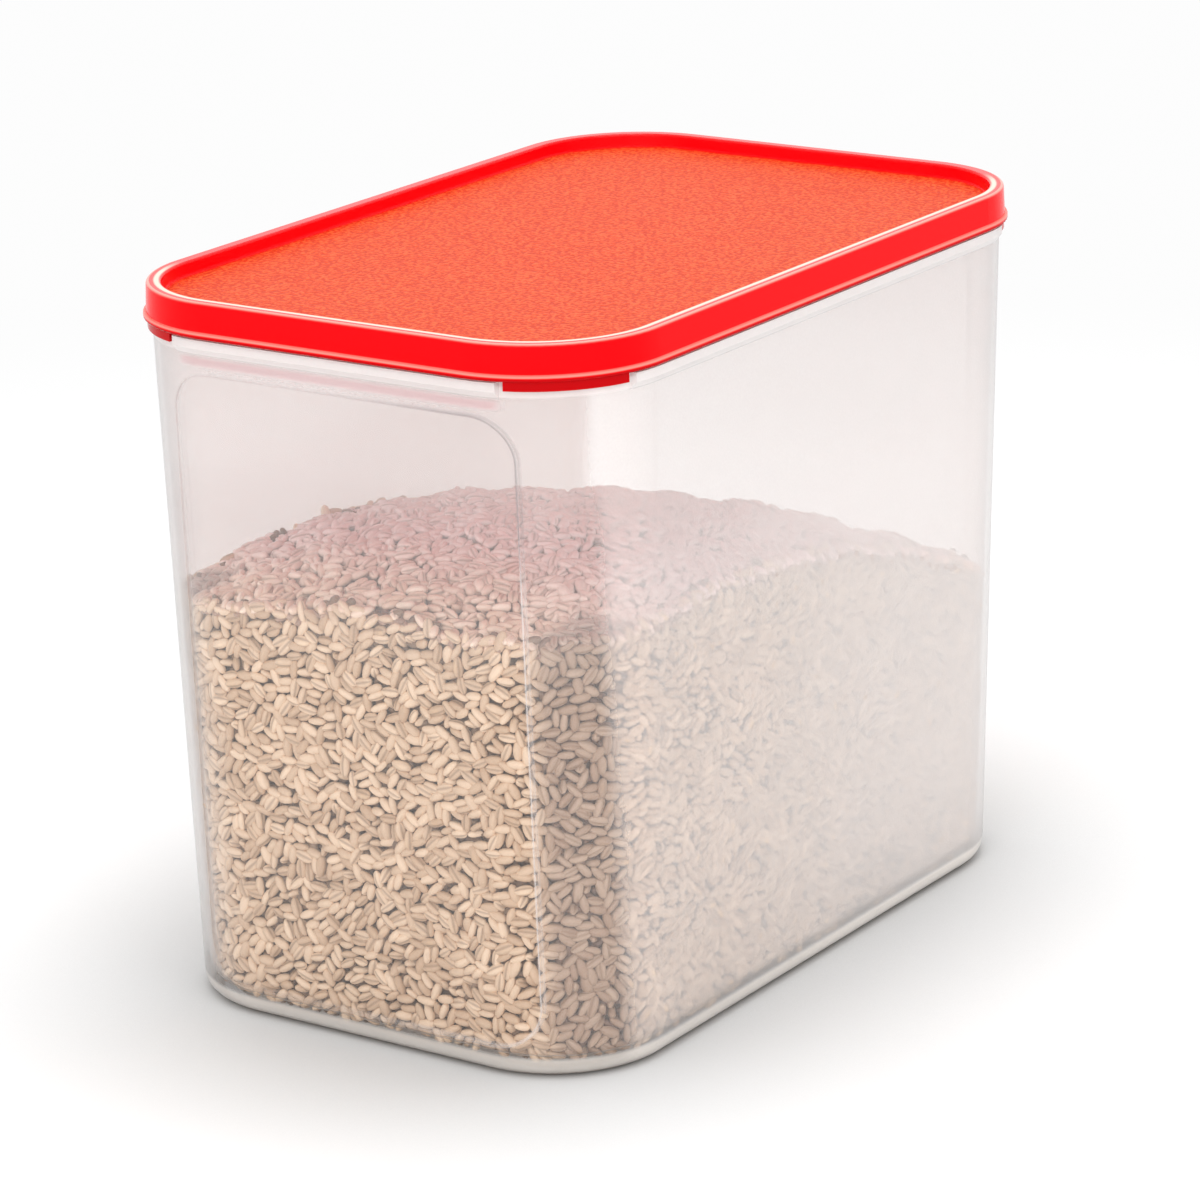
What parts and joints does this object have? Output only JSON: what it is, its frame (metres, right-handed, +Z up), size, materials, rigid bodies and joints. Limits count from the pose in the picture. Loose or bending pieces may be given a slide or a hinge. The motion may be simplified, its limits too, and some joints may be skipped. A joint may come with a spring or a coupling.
{
  "type": "modular storage container",
  "caption": "Tall rounded-rectangular storage container: drafted translucent tub with a clear window in each end, press-on red lid with a stacking recess, part-filled with wheat.",
  "frame": {"origin": "middle of the footprint, on the surface that the container stands on", "axes": "+X across the container, +Y along it from window end to window end, +Z up"},
  "size_m": [0.181, 0.2778, 0.23],
  "materials": {
    "translucent_plastic": "frosted, with a clear glossy window in each end",
    "red_plastic": "glossy band and crest, finely stippled panel",
    "wheat": "loose dry grains"
  },
  "bodies": {
    "container": {"tub": "translucent_plastic", "wheat_fill": "wheat"},
    "lid_body": {"lid": "red_plastic"}
  },
  "joints": [
    {"name": "lid_lift", "type": "slide", "parent": "container", "child": "lid_body", "axis": [0, 0, 1], "range_m": [0, 0.15]}
  ]
}
